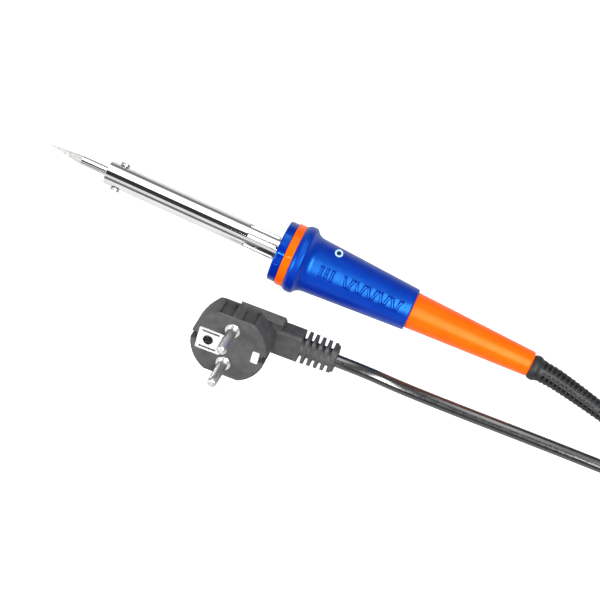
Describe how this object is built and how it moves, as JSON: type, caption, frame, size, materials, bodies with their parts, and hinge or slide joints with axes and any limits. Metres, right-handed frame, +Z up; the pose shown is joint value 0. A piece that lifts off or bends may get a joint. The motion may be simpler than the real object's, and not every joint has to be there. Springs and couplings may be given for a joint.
{
  "type": "soldering iron",
  "caption": "Mains soldering iron with a slender clamped tip in a windowed steel barrel, flared two-colour grip, pilot lamp, slotted strain relief, lead and angled earthed plug.",
  "frame": {"origin": "centre of the iron's footprint on the table, at the table's surface", "axes": "+X along the iron from its tip towards its cord, seen from above; +Z up from the table; the iron lies on its flange and its strain relief's collar"},
  "size_m": [0.4381, 0.1099, 0.0441],
  "materials": {
    "plated_tip": "iron-plated copper, tinned at the end",
    "screw_steel": "zinc-plated steel",
    "stainless": "polished stainless tube",
    "heater_steel": "heat-darkened steel",
    "mica": "layered mica wrap",
    "heating_wire": "oxidised heating wire",
    "lead_ceramic": "unglazed white",
    "lead_wire": "nickel wire",
    "blue_plastic": "satin moulded blue",
    "orange_plastic": "satin moulded orange",
    "bezel_white": "pale moulded ring",
    "lens_dark": "smoked lens",
    "lamp_glass": "clear glass lamp",
    "resistor_body": "coated resistor",
    "terminal_plastic": "moulded terminal block",
    "brass": "turned brass",
    "earth_insulation": "green and yellow insulation",
    "live_insulation": "brown insulation",
    "neutral_insulation": "blue insulation",
    "clamp_plastic": "moulded cord clamp",
    "cord_rubber": "dark rubber sheath",
    "relief_rubber": "soft black moulding",
    "plug_plastic": "grained black moulding",
    "pin_nickel": "nickel-plated brass",
    "earth_metal": "bright spring strip",
    "carrier_plastic": "moulded pin carrier",
    "tie_band": "plain flat band"
  },
  "bodies": {
    "iron": {"nose_bush": "stainless", "barrel": "stainless", "heater_core_tube": "heater_steel", "inner_mica_sleeve": "mica", "heater_winding": "heating_wire", "outer_mica_sleeve": "mica", "ceramic_lead_tubes": "lead_ceramic", "heater_leads": "lead_wire", "barrel_flange": "heater_steel", "flange_screws": "screw_steel", "front_cap": "blue_plastic", "guard_ring": "orange_plastic", "grip_sleeve": "blue_plastic", "rear_handle": "orange_plastic", "indicator_bezel": "bezel_white", "indicator_lens": "lens_dark", "neon_lamp": "lamp_glass", "lamp_resistor": "resistor_body", "lamp_leads": "lead_wire", "terminal_block": "terminal_plastic", "terminal_inserts": "brass", "terminal_screws": "screw_steel", "earth_lead": "earth_insulation", "live_core": "live_insulation", "earth_core": "earth_insulation", "neutral_core": "neutral_insulation", "cord_clamp": "clamp_plastic", "cord_clamp_screws": "screw_steel", "sheath_end": "cord_rubber", "strain_relief": "relief_rubber", "cord_iron_side": "cord_rubber", "cord_coil": "cord_rubber", "cord_plug_side": "cord_rubber", "cord_tie": "tie_band", "plug_body": "plug_plastic", "plug_boot": "plug_plastic", "live_pin": "pin_nickel", "neutral_pin": "pin_nickel", "earth_plate": "earth_metal", "earth_socket": "pin_nickel", "earth_clip": "earth_metal", "pin_bridge": "carrier_plastic", "plug_cores": "live_insulation", "plug_sheath_end": "cord_rubber"},
    "tip": {"soldering_tip": "plated_tip"},
    "upper_screw": {"upper_clamp_screw": "screw_steel"},
    "lower_screw": {"lower_clamp_screw": "screw_steel"}
  },
  "joints": [
    {"name": "tip_slide", "type": "slide", "parent": "iron", "child": "tip", "axis": [-0.9962, 0, 0.0873], "range_m": [0, 0.045]},
    {"name": "upper_screw_turn", "type": "hinge", "parent": "iron", "child": "upper_screw", "pos_m": [-0.11173, 0, 0.02508], "axis": [0.0261, 0.9542, 0.2979], "range_deg": [0, 720]},
    {"name": "lower_screw_turn", "type": "hinge", "parent": "iron", "child": "lower_screw", "pos_m": [-0.11173, 0, 0.02508], "axis": [-0.0261, -0.9542, -0.2979], "range_deg": [0, 720]}
  ]
}
